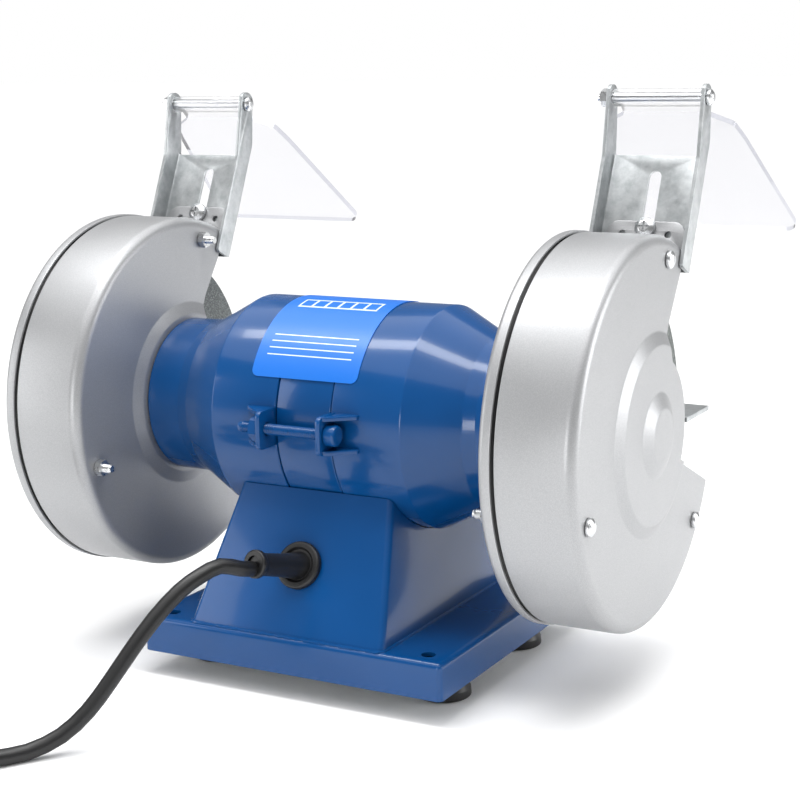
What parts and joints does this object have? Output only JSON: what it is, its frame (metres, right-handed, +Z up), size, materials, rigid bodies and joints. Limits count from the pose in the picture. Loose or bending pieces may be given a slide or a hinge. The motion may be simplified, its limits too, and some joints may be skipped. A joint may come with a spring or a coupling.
{
  "type": "bench grinder",
  "caption": "Bench grinder: a motor on a sloped pedestal with a guarded grinding wheel at each end, hinged clear eye shields, sliding tool rests, a rocker switch and a power cord.",
  "frame": {"origin": "centre of the base's flat underside, a foot height above the bench", "axes": "+Z up, +X along the shaft to the operator's right, +Y to the rear, where the cord leaves; the operator stands at -Y"},
  "size_m": [0.3755, 0.4217, 0.2452],
  "materials": {
    "blue_paint": "glossy blue paint",
    "silver_paint": "satin silver-grey paint",
    "zinc_plate": "zinc-plated steel, satin",
    "bright_steel": "machined steel",
    "abrasive": "coarse bonded grit, matte",
    "clear_plastic": "clear moulded plastic, glossy",
    "black_rubber": "matte black rubber",
    "black_plastic": "moulded black plastic",
    "label_print": "printed sticker, blank",
    "lamination": "stacked steel laminations",
    "copper": "enamelled copper windings",
    "rocker_red": "moulded plastic"
  },
  "bodies": {
    "frame": {"bearing_left": "bright_steel", "bearing_right": "bright_steel", "bottom_plate": "zinc_plate", "cable_gland": "black_rubber", "cord_coil": "black_rubber", "end_bell_left": "blue_paint", "end_bell_right": "blue_paint", "foot_front_left": "black_rubber", "foot_front_right": "black_rubber", "foot_rear_left": "black_rubber", "foot_rear_right": "black_rubber", "left_clamp_screw": "zinc_plate", "left_guard_lid": "silver_paint", "left_guard_pan": "silver_paint", "left_guard_screw_front": "zinc_plate", "left_guard_screw_rear": "zinc_plate", "left_guard_screw_top": "zinc_plate", "left_rest_screw": "bright_steel", "pedestal_base": "blue_paint", "power_cord": "black_rubber", "power_plug": "black_plastic", "rating_label": "label_print", "right_clamp_screw": "zinc_plate", "right_guard_lid": "silver_paint", "right_guard_pan": "silver_paint", "right_guard_screw_front": "zinc_plate", "right_guard_screw_rear": "zinc_plate", "right_guard_screw_top": "zinc_plate", "right_rest_screw": "bright_steel", "run_capacitor": "black_plastic", "stator_core": "lamination", "switch_housing": "black_plastic", "tie_bolt_front": "zinc_plate", "tie_bolt_rear": "zinc_plate", "tie_nut_front": "zinc_plate", "tie_nut_rear": "zinc_plate", "winding_left": "copper", "winding_right": "copper"},
    "rotor": {"rotor_shaft": "bright_steel", "rotor_core": "lamination", "left_inner_flange": "bright_steel", "left_grinding_wheel": "abrasive", "left_outer_flange": "bright_steel", "left_wheel_nut": "zinc_plate", "right_inner_flange": "bright_steel", "right_grinding_wheel": "abrasive", "right_outer_flange": "bright_steel", "right_wheel_nut": "zinc_plate"},
    "left_bracket": {"left_shield_bracket": "zinc_plate", "left_hinge_screw": "zinc_plate", "left_hinge_nut": "zinc_plate"},
    "left_shield": {"left_eye_shield": "clear_plastic"},
    "left_rest": {"left_tool_rest": "zinc_plate"},
    "right_bracket": {"right_shield_bracket": "zinc_plate", "right_hinge_screw": "zinc_plate", "right_hinge_nut": "zinc_plate"},
    "right_shield": {"right_eye_shield": "clear_plastic"},
    "right_rest": {"right_tool_rest": "zinc_plate"},
    "rocker": {"switch_rocker": "rocker_red"}
  },
  "joints": [
    {"name": "rotor_spin", "type": "hinge", "parent": "frame", "child": "rotor", "pos_m": [0, 0, 0.0986], "axis": [1, 0, 0], "continuous": true},
    {"name": "left_bracket_slide", "type": "slide", "parent": "frame", "child": "left_bracket", "axis": [0, -0.4067, 0.9135], "range_m": [-0.0055, 0.0055]},
    {"name": "left_shield_hinge", "type": "hinge", "parent": "left_bracket", "child": "left_shield", "pos_m": [-0.11225, -0.0547, 0.22933], "axis": [-1, 0, 0], "range_deg": [-18, 60]},
    {"name": "left_rest_slide", "type": "slide", "parent": "frame", "child": "left_rest", "axis": [0, 1, 0], "range_m": [-0.01, 0.0015]},
    {"name": "right_bracket_slide", "type": "slide", "parent": "frame", "child": "right_bracket", "axis": [0, -0.4067, 0.9135], "range_m": [-0.0029, 0.008]},
    {"name": "right_shield_hinge", "type": "hinge", "parent": "right_bracket", "child": "right_shield", "pos_m": [0.11225, -0.05364, 0.22695], "axis": [-1, 0, 0], "range_deg": [-18, 60]},
    {"name": "right_rest_slide", "type": "slide", "parent": "frame", "child": "right_rest", "axis": [0, 1, 0], "range_m": [-0.01, 0.0015]},
    {"name": "switch_rock", "type": "hinge", "parent": "frame", "child": "rocker", "pos_m": [0.002, -0.05115, 0.046], "axis": [1, 0, 0], "range_deg": [0, 18]}
  ]
}
